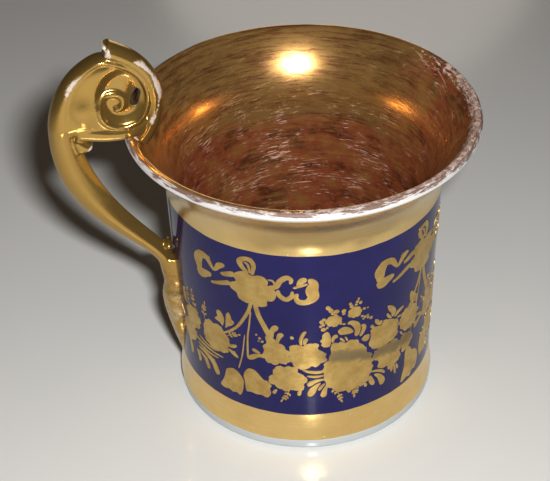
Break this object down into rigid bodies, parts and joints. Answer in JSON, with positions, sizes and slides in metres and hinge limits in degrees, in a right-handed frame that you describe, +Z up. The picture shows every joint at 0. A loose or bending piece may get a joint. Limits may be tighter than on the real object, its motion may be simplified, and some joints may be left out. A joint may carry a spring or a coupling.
{
  "type": "porcelain cup",
  "caption": "Cylindrical porcelain drinking cup with a flared lip, gilt bands, a cobalt wall and a tall scroll handle with a thumb spur and a leaf on the wall.",
  "frame": {"origin": "centre of the foot ring, on the plane that the cup stands on", "axes": "+Z up along the cup's axis, handle towards -X, the handle's plane is XZ"},
  "size_m": [0.1107, 0.092, 0.1121],
  "materials": {
    "white_porcelain": "clear glaze, worn at the lip",
    "gilt_handle": "burnished gilding, worn to white on the edges",
    "bare_slip": "fired slip",
    "cobalt_colour": "glossy cobalt ground with a gilt garland",
    "gilt_band": "burnished gilding",
    "worn_gilding": "gilding worn to red brown, scratched"
  },
  "bodies": {
    "root": {"body": "white_porcelain", "handle": "gilt_handle", "rim_slip": "bare_slip", "wall_slip": "bare_slip", "cobalt_ground": "cobalt_colour", "neck_band": "gilt_band", "base_band": "gilt_band", "inner_gilding": "worn_gilding"}
  },
  "joints": []
}
